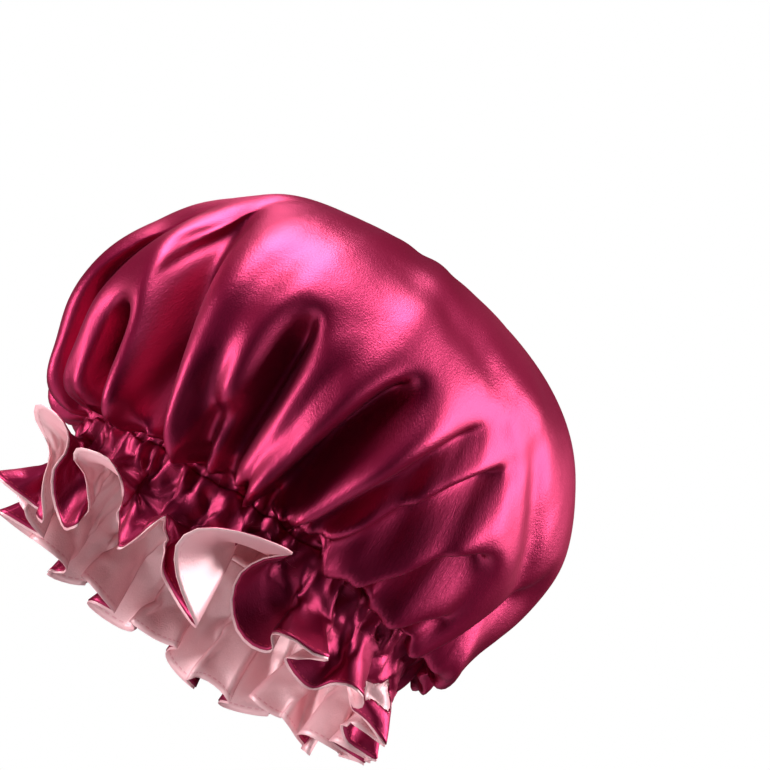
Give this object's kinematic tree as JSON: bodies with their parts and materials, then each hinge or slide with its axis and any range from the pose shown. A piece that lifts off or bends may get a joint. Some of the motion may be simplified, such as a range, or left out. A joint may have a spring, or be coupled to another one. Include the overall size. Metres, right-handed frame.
{
  "type": "sleep bonnet",
  "caption": "Puffed satin sleep bonnet, two layers, with a gathered elastic channel and a wavy two-sided ruffle round the head opening.",
  "frame": {"origin": "centre of the head opening, at the middle of the elastic channel", "axes": "+Z along the bonnet's axis from the opening to the crown, +X towards the nape, -X towards the brow; worn upright"},
  "size_m": [0.2907, 0.2705, 0.2345],
  "materials": {
    "satin_wine": "wine red satin",
    "satin_pink": "pale pink satin",
    "elastic_white": "woven elastic"
  },
  "bodies": {
    "root": {"crown": "satin_wine", "crown_lining": "satin_pink", "casing": "satin_wine", "casing_lining": "satin_pink", "elastic_band": "elastic_white", "frill": "satin_wine", "frill_lining": "satin_pink"}
  },
  "joints": []
}
